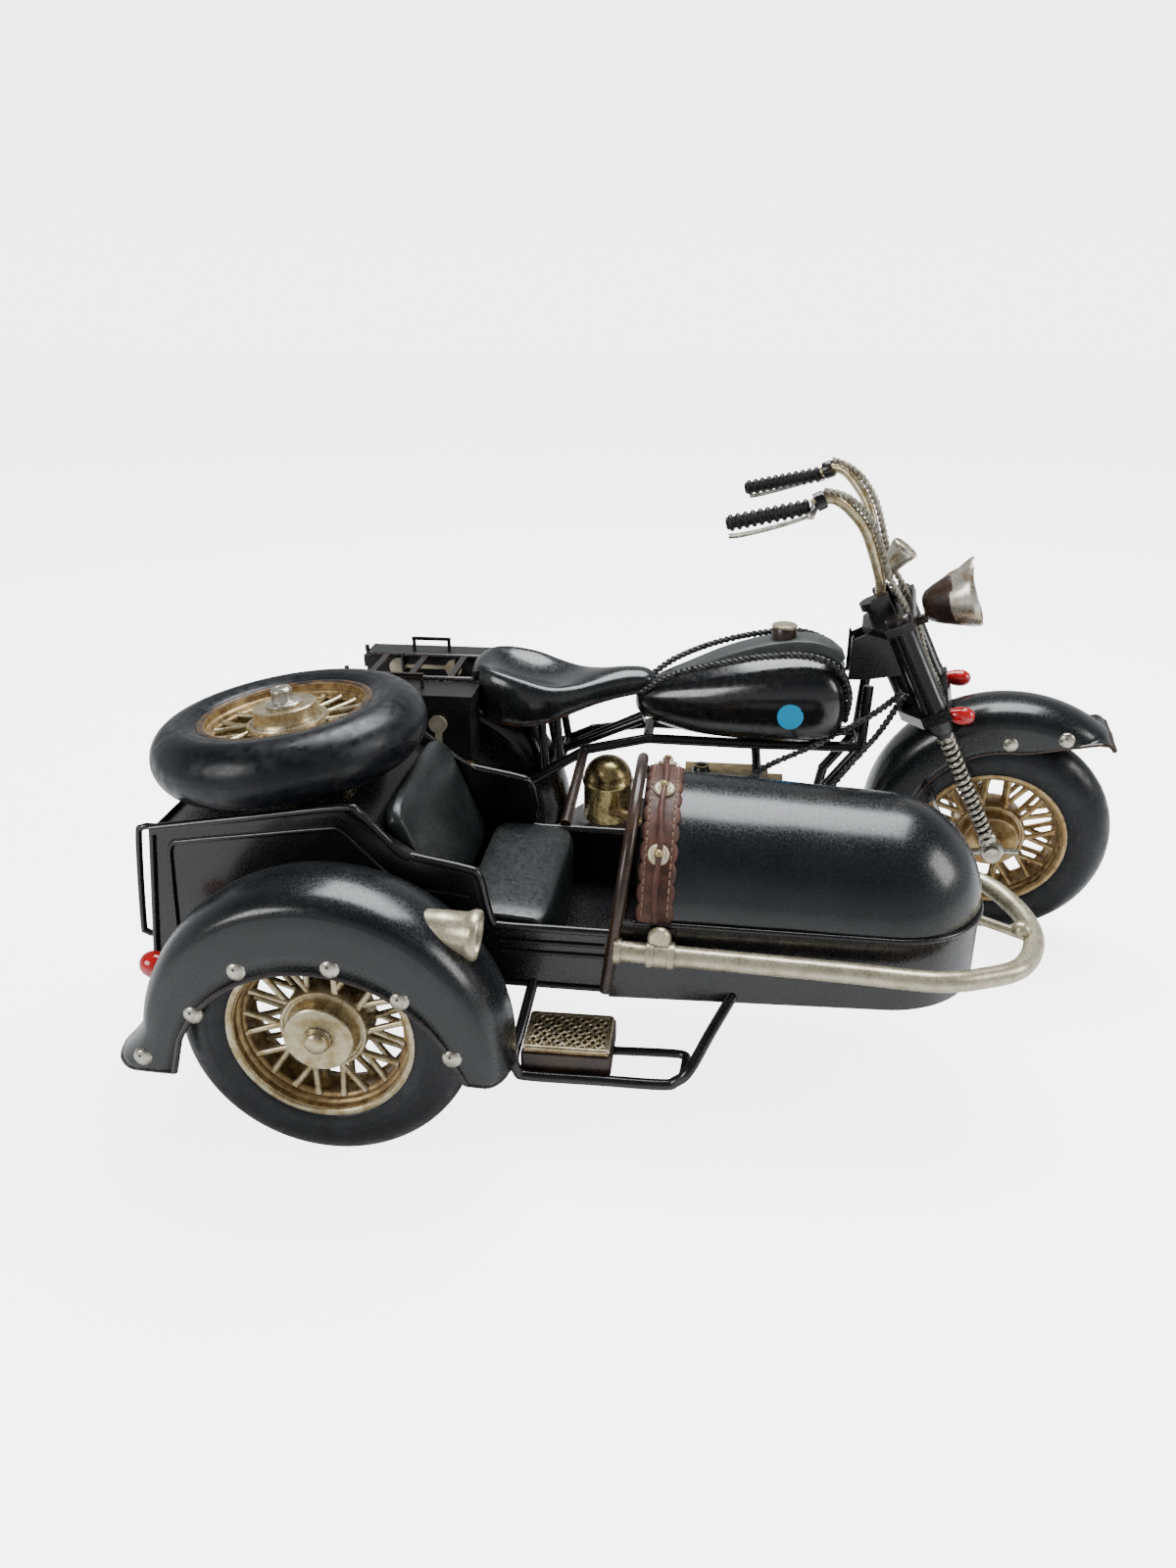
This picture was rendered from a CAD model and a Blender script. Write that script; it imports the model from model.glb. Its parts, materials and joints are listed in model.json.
"""Looks of a tin model motorcycle with sidecar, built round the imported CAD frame.

Sizes in this script are in millimetres and become metres when a mesh is made.
+X is forward, +Y is the rider's left and +Z is up, as in the CAD.
"""

import json
import math

import bmesh
import bpy
from mathutils import Matrix, Vector


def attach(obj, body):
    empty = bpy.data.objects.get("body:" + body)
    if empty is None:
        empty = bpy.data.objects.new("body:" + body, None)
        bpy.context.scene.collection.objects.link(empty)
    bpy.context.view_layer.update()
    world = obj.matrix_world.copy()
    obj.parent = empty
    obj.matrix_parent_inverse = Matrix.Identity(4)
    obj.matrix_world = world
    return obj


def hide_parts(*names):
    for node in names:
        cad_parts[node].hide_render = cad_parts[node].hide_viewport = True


MM = 0.001
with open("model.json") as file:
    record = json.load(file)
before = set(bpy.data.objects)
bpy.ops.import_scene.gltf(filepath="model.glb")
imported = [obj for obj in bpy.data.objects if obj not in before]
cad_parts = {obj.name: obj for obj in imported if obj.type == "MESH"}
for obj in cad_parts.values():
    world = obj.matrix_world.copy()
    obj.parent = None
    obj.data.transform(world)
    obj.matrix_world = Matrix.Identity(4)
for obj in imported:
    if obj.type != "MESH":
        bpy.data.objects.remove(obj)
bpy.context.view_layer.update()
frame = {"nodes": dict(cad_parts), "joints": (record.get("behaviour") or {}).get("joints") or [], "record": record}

# ---------- places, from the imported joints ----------

JOINTS = {j["name"]: j for j in frame["joints"]}


def joint_place(name):
    return Vector(JOINTS[name]["pos_m"]) / MM


def joint_axis(name):
    return Vector(JOINTS[name]["axis"]).normalized()


def shift(x, y, z):
    return Matrix.Translation((x, y, z))


def turn(degrees, axis):
    return Matrix.Rotation(math.radians(degrees), 4, axis)


WHEEL_R = 36.0
WHEELBASE = 180.0
FRONT_X = 100.5
REAR_X = FRONT_X - WHEELBASE
CAR_OFFSET = 76.5
REST_STEER = -8.5

REAR = joint_place("rear_wheel_spin")
SIDE = joint_place("side_wheel_spin")
PIVOT = joint_place("steering")
STEM = joint_axis("steering")
RAKE = math.degrees(math.atan2(-STEM.x, STEM.z))
MID_X = REAR.x - REAR_X

BIKE = shift(MID_X, REAR.y, 0)
CAR = shift(MID_X, REAR.y - CAR_OFFSET, 0)
STEER = shift(*PIVOT) @ turn(REST_STEER, STEM) @ shift(*-PIVOT) @ BIKE
FORK = STEER @ shift(FRONT_X, 0, WHEEL_R) @ turn(-RAKE, "Y")
Z_TO_Y = turn(-90, "X")


# ---------- mesh building ----------


def spline_value(t, p, q, r, s):
    """Smooth curve from q to r as t goes from 0 to 1, with p and s as the numbers before and after."""
    return 0.5 * (2 * q + (r - p) * t + (2 * p - 5 * q + 4 * r - s) * t * t + (3 * q - p - 3 * r + s) * t**3)


def stations(rows, steps):
    """Fills in smoothly between rows of numbers."""
    made = []
    for i in range(len(rows) - 1):
        a, b, c, d = rows[max(i - 1, 0)], rows[i], rows[i + 1], rows[min(i + 2, len(rows) - 1)]
        for k in range(steps):
            t = k / steps
            made.append(tuple(spline_value(t, *numbers) for numbers in zip(a, b, c, d)))
    made.append(rows[-1])
    return made


def smooth_path(points, steps=8):
    """Points on a smooth curve through the given ones."""
    return [Vector(p) for p in stations(points, steps)]


def path_frames(points, closed=False):
    """A tangent and two normals at each point, turning as little as possible."""
    n = len(points)
    frames = []
    side = None
    for i in range(n):
        before = points[(i - 1) % n] if closed or i > 0 else points[0]
        after = points[(i + 1) % n] if closed or i < n - 1 else points[-1]
        along = (after - before).normalized()
        if side is None:
            guess = Vector((0, 1, 0)) if abs(along.y) < 0.9 else Vector((1, 0, 0))
            side = along.cross(guess).normalized()
        side = (side - along * side.dot(along)).normalized()
        frames.append((along, side, along.cross(side)))
    return frames


def new_object(name, data):
    """Object in the scene, holding a mesh, a light or a camera."""
    obj = bpy.data.objects.new(name, data)
    bpy.context.scene.collection.objects.link(obj)
    return obj


class Shape:
    """Collects the vertices and faces of one piece."""

    def __init__(self):
        self.verts = []
        self.faces = []

    def add(self, verts, faces, place=None):
        start = len(self.verts)
        self.verts += [place @ Vector(v) if place else Vector(v) for v in verts]
        self.faces += [tuple(start + i for i in f) for f in faces]
        return self

    def rings(self, rows, place=None, closed=False, caps=True):
        """Skins rows of points, each row a closed loop."""
        n = len(rows[0])
        verts = [v for row in rows for v in row]
        faces = []
        count = len(rows)
        for i in range(count if closed else count - 1):
            j = (i + 1) % count
            for k in range(n):
                m = (k + 1) % n
                faces.append((i * n + k, i * n + m, j * n + m, j * n + k))
        if caps and not closed:
            faces.append(tuple(reversed(range(n))))
            faces.append(tuple((count - 1) * n + k for k in range(n)))
        return self.add(verts, faces, place)

    def lathe(self, outline, place=None, segments=72, closed=False):
        """Turns an outline of (radius, height) about local Z."""
        angles = [2 * math.pi * k / segments for k in range(segments)]
        rows = [[(r * math.cos(a), r * math.sin(a), h) for a in angles] for r, h in outline]
        return self.rings(rows, place, closed=closed)

    def tube(self, points, radius, place=None, sides=14, closed=False):
        """Round bar along points; radius is a number or a function of the share of the way."""
        points = [Vector(p) for p in points]
        angles = [2 * math.pi * k / sides for k in range(sides)]
        rows = []
        for i, (_, side, up) in enumerate(path_frames(points, closed)):
            r = radius(i / (len(points) - 1)) if callable(radius) else radius
            rows.append([points[i] + r * (math.cos(a) * side + math.sin(a) * up) for a in angles])
        return self.rings(rows, place, closed=closed)

    def twisted(self, points, radius, pitch, place=None, strands=2, sides=8):
        """Strands wound round a path, as in a twisted cord."""
        points = [Vector(p) for p in points]
        frames = path_frames(points)
        lengths = [0.0]
        for a, b in zip(points, points[1:]):
            lengths.append(lengths[-1] + (b - a).length)
        offset = radius * 0.5
        for s in range(strands):
            line = []
            for p, (_, side, up), at in zip(points, frames, lengths):
                angle = 2 * math.pi * (at / pitch + s / strands)
                line.append(p + offset * (math.cos(angle) * side + math.sin(angle) * up))
            self.tube(line, radius - offset, place, sides)
        return self

    def box(self, low, high, place=None):
        (x0, y0, z0), (x1, y1, z1) = low, high
        verts = [(x, y, z) for z in (z0, z1) for y in (y0, y1) for x in (x0, x1)]
        faces = [(0, 2, 3, 1), (4, 5, 7, 6), (0, 1, 5, 4), (2, 6, 7, 3), (0, 4, 6, 2), (1, 3, 7, 5)]
        return self.add(verts, faces, place)

    def grid(self, rows, place=None):
        """Open sheet through rows of points."""
        n = len(rows[0])
        verts = [v for row in rows for v in row]
        faces = [
            (i * n + k, i * n + k + 1, (i + 1) * n + k + 1, (i + 1) * n + k)
            for i in range(len(rows) - 1)
            for k in range(n - 1)
        ]
        return self.add(verts, faces, place)

    def piece(self, name, body, look, slot, replaces=(), sharp=35, bevel=0.0, subdivide=0, thick=0.0):
        """Makes the object, gives it the material called look and puts it on a body."""
        mesh = bpy.data.meshes.new(name)
        mesh.from_pydata([v * MM for v in self.verts], [], self.faces)
        mesh.update()
        made = bmesh.new()
        made.from_mesh(mesh)
        bmesh.ops.remove_doubles(made, verts=made.verts, dist=1e-6)
        bmesh.ops.recalc_face_normals(made, faces=made.faces)
        made.to_mesh(mesh)
        made.free()
        mesh.shade_smooth()
        mesh.set_sharp_from_angle(angle=math.radians(sharp))
        obj = new_object(name, mesh)
        if thick:
            solid = obj.modifiers.new("thickness", "SOLIDIFY")
            solid.thickness = thick * MM
            solid.offset = 0
        if bevel:
            soften(obj, bevel)
        if subdivide:
            sub = obj.modifiers.new("smooth", "SUBSURF")
            sub.levels = sub.render_levels = subdivide
        obj.data.materials.append(MATERIALS[look])
        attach(obj, body)
        if replaces:
            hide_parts(*replaces)
        return obj


def soften(obj, width):
    """Rounds an object's hard edges."""
    bevel = obj.modifiers.new("edges", "BEVEL")
    bevel.width = width * MM
    bevel.segments = 2
    bevel.limit_method = "ANGLE"
    bevel.angle_limit = math.radians(35)
    bevel.harden_normals = False


# ---------- materials ----------


class Nodes:
    """A material's node tree, with short calls for the usual nodes."""

    def __init__(self, name):
        self.material = bpy.data.materials.new(name)
        self.material.use_nodes = True
        self.tree = self.material.node_tree
        self.tree.nodes.clear()
        self.shader = self.node("ShaderNodeBsdfPrincipled")
        out = self.node("ShaderNodeOutputMaterial")
        self.link(self.shader.outputs["BSDF"], out.inputs["Surface"])
        place = self.node("ShaderNodeTexCoord").outputs["Object"]
        scaled = self.node("ShaderNodeMapping")
        scaled.inputs["Scale"].default_value = (1 / MM, 1 / MM, 1 / MM)
        self.link(place, scaled.inputs["Vector"])
        self.place = scaled.outputs["Vector"]

    def node(self, kind, **values):
        made = self.tree.nodes.new(kind)
        for key, value in values.items():
            setattr(made, key, value)
        return made

    def link(self, a, b):
        self.tree.links.new(a, b)

    def feed(self, socket, value):
        """Gives a socket a number or a colour, or links another node's output to it."""
        if isinstance(value, tuple):
            socket.default_value = (*value, 1)
        elif isinstance(value, (int, float)):
            socket.default_value = value
        else:
            self.link(value, socket)

    def noise(self, scale, detail=3.0, rough=0.55, stretch=None):
        n = self.node("ShaderNodeTexNoise")
        for key, value in (("Scale", scale), ("Detail", detail), ("Roughness", rough)):
            n.inputs[key].default_value = value
        place = self.place
        if stretch:
            m = self.node("ShaderNodeMapping")
            m.inputs["Scale"].default_value = stretch
            self.link(place, m.inputs["Vector"])
            place = m.outputs["Vector"]
        self.link(place, n.inputs["Vector"])
        return n.outputs["Fac"]

    def ramp(self, value, low, high, to_low=0.0, to_high=1.0):
        n = self.node("ShaderNodeMapRange")
        n.interpolation_type = "SMOOTHSTEP"
        for key, number in (("From Min", low), ("From Max", high), ("To Min", to_low), ("To Max", to_high)):
            n.inputs[key].default_value = number
        self.link(value, n.inputs["Value"])
        return n.outputs["Result"]

    def math(self, kind, a, b):
        n = self.node("ShaderNodeMath", operation=kind)
        for socket, value in zip(n.inputs, (a, b)):
            self.feed(socket, value)
        return n.outputs["Value"]

    def mix(self, share, a, b):
        n = self.node("ShaderNodeMix", data_type="RGBA")
        for socket, value in (("Factor", share), ("A", a), ("B", b)):
            self.feed(n.inputs[socket], value)
        return n.outputs["Result"]

    def edges(self, radius):
        """1 along worn edges, 0 on flat stretches."""
        bevel = self.node("ShaderNodeBevel", samples=4)
        bevel.inputs["Radius"].default_value = radius * MM
        dot = self.node("ShaderNodeVectorMath", operation="DOT_PRODUCT")
        self.link(bevel.outputs["Normal"], dot.inputs[0])
        self.link(self.node("ShaderNodeNewGeometry").outputs["Normal"], dot.inputs[1])
        return self.ramp(dot.outputs["Value"], 0.99, 0.88)

    def bump(self, height, strength, distance):
        n = self.node("ShaderNodeBump")
        n.inputs["Strength"].default_value = strength
        n.inputs["Distance"].default_value = distance * MM
        self.link(height, n.inputs["Height"])
        self.link(n.outputs["Normal"], self.shader.inputs["Normal"])

    def set(self, **values):
        for key, value in values.items():
            self.feed(self.shader.inputs[key.replace("_", " ")], value)


def paint(name, base, other, worn, rough=0.3, wear=0.6, metal=0.0, coat=0.0, mottle=0.12, grain=1.6,
          bump=0.05):
    """Aged paint or plating: mottled colour, worn edges, small chips and an uneven surface."""
    n = Nodes(name)
    broad = n.ramp(n.noise(mottle, 4), 0.38, 0.66)
    fine = n.noise(grain, 4)
    rub = n.math("MULTIPLY", n.edges(0.5), n.ramp(n.noise(0.5, 4), 0.32, 0.62))
    specks = n.ramp(n.noise(0.9, 6, 0.8), 0.7, 0.76)
    bare = n.math("MULTIPLY", n.math("MAXIMUM", rub, specks), wear)
    colour = n.mix(bare, n.mix(broad, base, other), worn)
    n.set(
        Base_Color=colour,
        Roughness=n.ramp(fine, 0.25, 0.75, rough - 0.08, rough + 0.12),
        Metallic=metal,
        Coat_Weight=coat,
        Coat_Roughness=0.12,
    )
    n.bump(n.math("ADD", fine, n.math("MULTIPLY", bare, -0.6)), bump, 0.06)
    return n.material


def rubber(name, base, other, rough=0.5, bump=0.2):
    """Moulded rubber with a faint dusty bloom."""
    n = Nodes(name)
    dust = n.ramp(n.noise(0.16, 5), 0.4, 0.7)
    fine = n.noise(3.0, 3)
    n.set(
        Base_Color=n.mix(dust, base, other),
        Roughness=n.ramp(n.noise(0.35, 4), 0.3, 0.7, rough - 0.1, rough + 0.12),
        Specular_IOR_Level=0.32,
    )
    n.bump(fine, bump, 0.05)
    return n.material


def leather(name, base, dark):
    """Waxed leather: fine grain, darker in patches and along edges."""
    n = Nodes(name)
    cells = n.node("ShaderNodeTexVoronoi", feature="DISTANCE_TO_EDGE")
    cells.inputs["Scale"].default_value = 2.2
    n.link(n.place, cells.inputs["Vector"])
    patches = n.ramp(n.noise(0.3, 5), 0.35, 0.7)
    share = n.math("MAXIMUM", patches, n.edges(0.8))
    n.set(
        Base_Color=n.mix(share, base, dark),
        Roughness=n.ramp(n.noise(1.2, 3), 0.3, 0.7, 0.34, 0.55),
        Specular_IOR_Level=0.4,
    )
    creases = n.ramp(cells.outputs["Distance"], 0.0, 0.12)
    n.bump(n.math("ADD", creases, n.noise(0.6, 4)), 0.35, 0.08)
    return n.material


def clear(name, tint):
    """Moulded clear or tinted plastic and glass, with fine flutes."""
    n = Nodes(name)
    fine = n.noise(1.5, 3)
    n.set(
        Base_Color=n.mix(n.ramp(n.noise(0.5, 3), 0.35, 0.7), tint, tuple(c * 0.7 for c in tint)),
        Roughness=n.ramp(fine, 0.3, 0.7, 0.08, 0.2),
        Coat_Weight=0.6,
        Coat_Roughness=0.06,
    )
    n.bump(fine, 0.1, 0.05)
    return n.material


BROWN_WEAR = (0.13, 0.06, 0.032)

# Each paint: its colour, the colour of its mottled patches, the colour where it is worn, and its finish
PAINTS = {
    "black_paint": ((0.005, 0.005, 0.006), (0.01, 0.008, 0.008), BROWN_WEAR, dict(rough=0.22, coat=0.15)),
    "cowl_paint": ((0.005, 0.0065, 0.0075), (0.008, 0.0095, 0.011), (0.2, 0.19, 0.17),
                   dict(rough=0.24, wear=0.45, coat=0.1)),
    "gold_rim": ((0.46, 0.33, 0.15), (0.28, 0.16, 0.06), (0.8, 0.75, 0.6),
                 dict(rough=0.34, wear=0.85, metal=0.75, mottle=0.3, bump=0.3)),
    "silver_metal": ((0.6, 0.58, 0.5), (0.36, 0.33, 0.26), (0.9, 0.88, 0.82),
                     dict(rough=0.28, wear=0.6, metal=0.9, mottle=0.4, bump=0.25)),
    "black_cable": ((0.008, 0.008, 0.009), (0.03, 0.03, 0.03), (0.5, 0.5, 0.47),
                    dict(rough=0.24, wear=0.85, metal=0.15, mottle=0.5)),
    "brown_black_paint": ((0.022, 0.012, 0.009), (0.05, 0.025, 0.014), (0.3, 0.19, 0.1),
                          dict(rough=0.32, wear=0.5, metal=0.2, coat=0.2)),
    "gold_paint": ((0.42, 0.32, 0.15), (0.26, 0.18, 0.08), (0.72, 0.64, 0.44),
                   dict(rough=0.36, wear=0.7, metal=0.6, mottle=0.35, bump=0.3)),
    "brass": ((0.5, 0.4, 0.18), (0.22, 0.16, 0.07), (0.85, 0.75, 0.5),
              dict(rough=0.26, wear=0.6, metal=0.9, mottle=0.3, bump=0.25)),
    "champagne_metal": ((0.56, 0.51, 0.37), (0.4, 0.35, 0.24), (0.24, 0.17, 0.1),
                        dict(rough=0.3, wear=0.45, metal=0.65, mottle=0.25, bump=0.2)),
    "grey_black_paint": ((0.04, 0.047, 0.045), (0.062, 0.068, 0.064), BROWN_WEAR,
                         dict(rough=0.42, wear=0.4)),
    "blue_sticker": ((0.0, 0.42, 0.78), (0.0, 0.38, 0.74), (0.3, 0.6, 0.8),
                     dict(rough=0.5, wear=0.2, bump=0.05)),
    "black_seat": ((0.008, 0.009, 0.01), (0.014, 0.016, 0.017), BROWN_WEAR,
                   dict(rough=0.24, wear=0.4, coat=0.35, grain=0.9)),
    "seat_vinyl": ((0.007, 0.009, 0.009), (0.012, 0.015, 0.0145), BROWN_WEAR,
                   dict(rough=0.34, wear=0.4, grain=0.9)),
    "black_case": ((0.008, 0.008, 0.008), (0.014, 0.014, 0.012), (0.14, 0.1, 0.06),
                   dict(rough=0.36, wear=0.6)),
    "cream_metal": ((0.7, 0.64, 0.48), (0.56, 0.48, 0.32), (0.36, 0.26, 0.14),
                    dict(rough=0.34, wear=0.6, metal=0.3)),
    "pale_gold": ((0.54, 0.47, 0.31), (0.36, 0.27, 0.13), (0.86, 0.82, 0.68),
                  dict(rough=0.3, wear=0.7, metal=0.8, mottle=0.35, bump=0.3)),
    "rust_gold": ((0.33, 0.23, 0.1), (0.16, 0.09, 0.035), (0.62, 0.5, 0.28),
                  dict(rough=0.38, wear=0.6, metal=0.6, mottle=0.4, bump=0.35)),
    "dark_bronze": ((0.045, 0.036, 0.03), (0.13, 0.07, 0.032), (0.4, 0.36, 0.28),
                    dict(rough=0.36, wear=0.5, metal=0.4, mottle=0.3, bump=0.3)),
    "frosted_cable": ((0.42, 0.4, 0.33), (0.2, 0.17, 0.12), (0.85, 0.84, 0.78),
                      dict(rough=0.34, wear=0.7, metal=0.6, mottle=0.6, bump=0.3)),
    "worn_plating": ((0.62, 0.6, 0.52), (0.34, 0.2, 0.1), (0.9, 0.88, 0.82),
                     dict(rough=0.26, wear=0.6, metal=0.75, mottle=0.16, bump=0.25)),
    "tank_gloss": ((0.006, 0.007, 0.008), (0.009, 0.009, 0.01), (0.1, 0.09, 0.07),
                   dict(rough=0.2, wear=0.5, coat=0.45, grain=0.6)),
    "thread": ((0.26, 0.16, 0.1), (0.16, 0.085, 0.05), (0.5, 0.4, 0.3),
               dict(rough=0.7, wear=0.3, grain=4.0)),
}
MATERIALS = {name: paint(name, *colours, **finish) for name, (*colours, finish) in PAINTS.items()}
MATERIALS["tyre_rubber"] = rubber("tyre_rubber", (0.005, 0.006, 0.0075), (0.01, 0.0115, 0.0135), 0.32)
MATERIALS["grip_rubber"] = rubber("grip_rubber", (0.007, 0.007, 0.008), (0.02, 0.02, 0.021), 0.42)
MATERIALS["lens_glass"] = clear("lens_glass", (0.3, 0.37, 0.4))
MATERIALS["red_plastic"] = clear("red_plastic", (0.6, 0.008, 0.012))
MATERIALS["brown_leather"] = leather("brown_leather", (0.11, 0.042, 0.026), (0.045, 0.017, 0.011))

# Every CAD node keeps its own mesh until a detailed piece replaces it
SLOT_OF = {row["node"]: row["material_slot"] for row in frame["record"]["subparts"]}
SOFT_EDGES = {"engine_block": 0.6, "head_cover": 0.5, "luggage_boxes": 0.5, "sidecar_tub": 0.25,
              "sidecar_seat": 0.8}
COWL_NODES = ("sidecar_cowl", "side_fender", "front_fender")
for node_name, node_obj in frame["nodes"].items():
    slot_name = "cowl_paint" if node_name in COWL_NODES else SLOT_OF[node_name]
    node_obj.data.materials.clear()
    node_obj.data.materials.append(MATERIALS[slot_name])
    soften(node_obj, SOFT_EDGES.get(node_name, 0.15))


# ---------- shared outlines ----------


def round_section(x, half, low, high, power, count=48):
    """Closed ring across X, between a round (power 2) and a boxy (power 4) outline."""
    ring = []
    for k in range(count):
        c, s = math.cos(2 * math.pi * k / count), math.sin(2 * math.pi * k / count)
        y = half * math.copysign(abs(c) ** (2 / power), c)
        z = (low + high) / 2 + (high - low) / 2 * math.copysign(abs(s) ** (2 / power), s)
        ring.append((x, y, z))
    return ring


def mirror_h(outline):
    """An outline of (radius, height) and its mirror image in height."""
    return outline + [(r, -h) for r, h in reversed(outline)]


def flip_y(points):
    return [(x, -y, z) for x, y, z in points]


CORD_PITCH = 3.6


def cords(name, body, routes, steps, radius, place, look, node):
    """Two-strand twisted cords along some routes."""
    shape = Shape()
    for route in routes:
        shape.twisted(smooth_path(route, steps), radius, CORD_PITCH, place)
    shape.piece(name, body, look, "black_cable", (node,), sharp=60)


def aim(start, end):
    """Places local Z along a line from start to end."""
    start, end = Vector(start), Vector(end)
    return shift(*start) @ (end - start).to_track_quat("Z", "Y").to_matrix().to_4x4()


# ---------- wheels ----------

TYRE_R = 8.6
TYRE_MID = WHEEL_R - TYRE_R
TYRE_ARC = 138
TYRE_STEPS = 80
SPOKE_PAIRS = 10
SPOKE_SPREAD = 8.6
SPOKE_LAYER = 3.2
SPOKE_IN_R = 9.6
SPOKE_OUT_R = 19.6


def tyre(name, place, body):
    """Round-section tyre with a rim bead, a sidewall groove and a faint mould seam."""
    outline = []
    for k in range(TYRE_STEPS + 1):
        angle = -TYRE_ARC + 2 * TYRE_ARC * k / TYRE_STEPS
        radius = TYRE_R
        radius -= 0.14 * math.exp(-(((abs(angle) - 96) / 2.2) ** 2))
        radius += 0.1 * math.exp(-(((abs(angle) - 118) / 5) ** 2))
        radius += 0.05 * math.exp(-((angle / 1.6) ** 2)) - 0.05
        a = math.radians(angle)
        outline.append((TYRE_MID + radius * math.cos(a), radius * math.sin(a)))
    shape = Shape().lathe(outline, place, 128, closed=True)
    shape.piece(name + "_tyre_skin", body, "tyre_rubber", "tyre_rubber", (name + "_tyre",), sharp=60)


def spoked_rim(name, place, body, lip_paint, barrel_paint, hub_paint):
    """Rim with a bright lip and a stepped well, two layers of V spokes and a turned hub."""
    lip = [(21.6, 6.0), (22.5, 6.3), (22.85, 6.8), (22.75, 7.35), (22.2, 7.5), (21.6, 7.45), (21.2, 7.0),
           (21.15, 6.2)]
    rings = Shape()
    for side in (-1, 1):
        rings.lathe([(r, side * h) for r, h in lip], place, 128, closed=True)
    rings.piece(name + "_rim_lip", body, lip_paint, "gold_rim", (name + "_rim",), sharp=50)

    well = [(21.5, 7.0), (21.0, 6.9), (20.9, 6.0), (20.8, 5.3), (20.2, 5.0), (20.0, 4.6), (19.9, 3.9),
            (19.3, 3.6)]
    well += [(19.1, 3.2), (19.1, 2.6), (19.5, 2.2), (19.7, 1.0)]
    Shape().lathe(mirror_h(well) + [(21.5, -2.0), (21.5, 2.0)], place, 128, closed=True).piece(
        name + "_rim_well", body, barrel_paint, "gold_rim", sharp=50
    )

    spokes = Shape()
    for layer in (-SPOKE_LAYER, SPOKE_LAYER):
        for i in range(SPOKE_PAIRS):
            middle = 360 * i / SPOKE_PAIRS
            for side in (-1, 1):
                a = math.radians(middle - side * 3)
                b = math.radians(middle + side * SPOKE_SPREAD)
                start = Vector((SPOKE_IN_R * math.cos(a), SPOKE_IN_R * math.sin(a),
                                layer * 0.95 + side * 0.25))
                end = Vector((SPOKE_OUT_R * math.cos(b), SPOKE_OUT_R * math.sin(b), layer))
                points = [start.lerp(end, k / 8) for k in range(9)]
                spokes.tube(points, lambda t: 0.84 + 0.3 * abs(2 * t - 1) ** 5, place, 10)
    spokes.piece(name + "_spokes", body, hub_paint, "gold_rim", sharp=50)

    face = [(0, 8.3), (3.0, 8.3), (3.4, 8.5), (7.0, 8.35), (7.6, 8.6), (8.1, 8.6), (8.4, 8.3), (8.4, 5.6)]
    face += [(8.7, 4.9), (9.1, 4.3), (9.5, 4.3), (9.8, 4.7), (10.4, 4.7), (10.7, 4.3), (10.7, 1.0)]
    Shape().lathe(mirror_h(face), place, 96).piece(name + "_hub", body, hub_paint, "gold_rim", sharp=40)


AT_FRONT = STEER @ shift(FRONT_X, 0, WHEEL_R) @ Z_TO_Y
AT_REAR = shift(*REAR) @ Z_TO_Y
AT_SIDE = shift(*SIDE) @ Z_TO_Y
AT_SPARE = CAR @ shift(-100, 1, 88.8) @ turn(-7, "Y")

WHEELS = (
    ("front", AT_FRONT, "front_wheel", "gold_rim", "rust_gold", "gold_rim"),
    ("rear", AT_REAR, "rear_wheel", "gold_rim", "rust_gold", "gold_rim"),
    ("side", AT_SIDE, "side_wheel", "pale_gold", "rust_gold", "pale_gold"),
    ("spare", AT_SPARE, "chassis", "dark_bronze", "rust_gold", "pale_gold"),
)
for wheel, place, body, lip, well, hub in WHEELS:
    tyre(wheel, place, body)
    spoked_rim(wheel, place, body, lip, well, hub)

# Domed cap on the sidecar wheel, and the axle behind it
cap = [(0, -11.2), (1.3, -11.15), (2.3, -10.8), (2.9, -10.1), (3.0, -9.2), (3.3, -8.7), (1.5, -8.6),
       (1.5, 8.7)]
cap += [(3.2, 9.1), (3.2, 21.4), (0, 21.4)]
Shape().lathe(cap, AT_SIDE, 48).piece(
    "side_axle_cap", "chassis", "pale_gold", "silver_metal", ("side_axle",), sharp=50
)

# Turned knob over the spare's hub, and the hexagonal nut under it
nut = Shape().lathe(
    [(0, 8.4), (4.6, 8.4), (4.8, 8.8), (4.4, 9.3), (3.0, 9.4), (2.8, 10.0), (2.8, 12.4), (2.2, 13.1),
     (1.2, 13.2), (1.0, 12.2), (0, 12.2)], AT_SPARE, 40
)
nut.lathe([(0, -11), (3.2, -11), (3.2, -9.2), (4.4, -9), (4.4, -8.5), (0, -8.5)], AT_SPARE, 6)
nut.piece("spare_nut", "chassis", "silver_metal", "silver_metal", ("spare_clamp",), bevel=0.15)


# ---------- fork ----------

FORK_HALF = 13.6
LEG_R = 3.7
SPRING_LOW = 5.0
SPRING_HIGH = 41.6
SPRING_TURNS = 17
SPRING_R = 2.0
SPRING_WIRE = 0.66
SPRING_STEPS = 18

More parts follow.
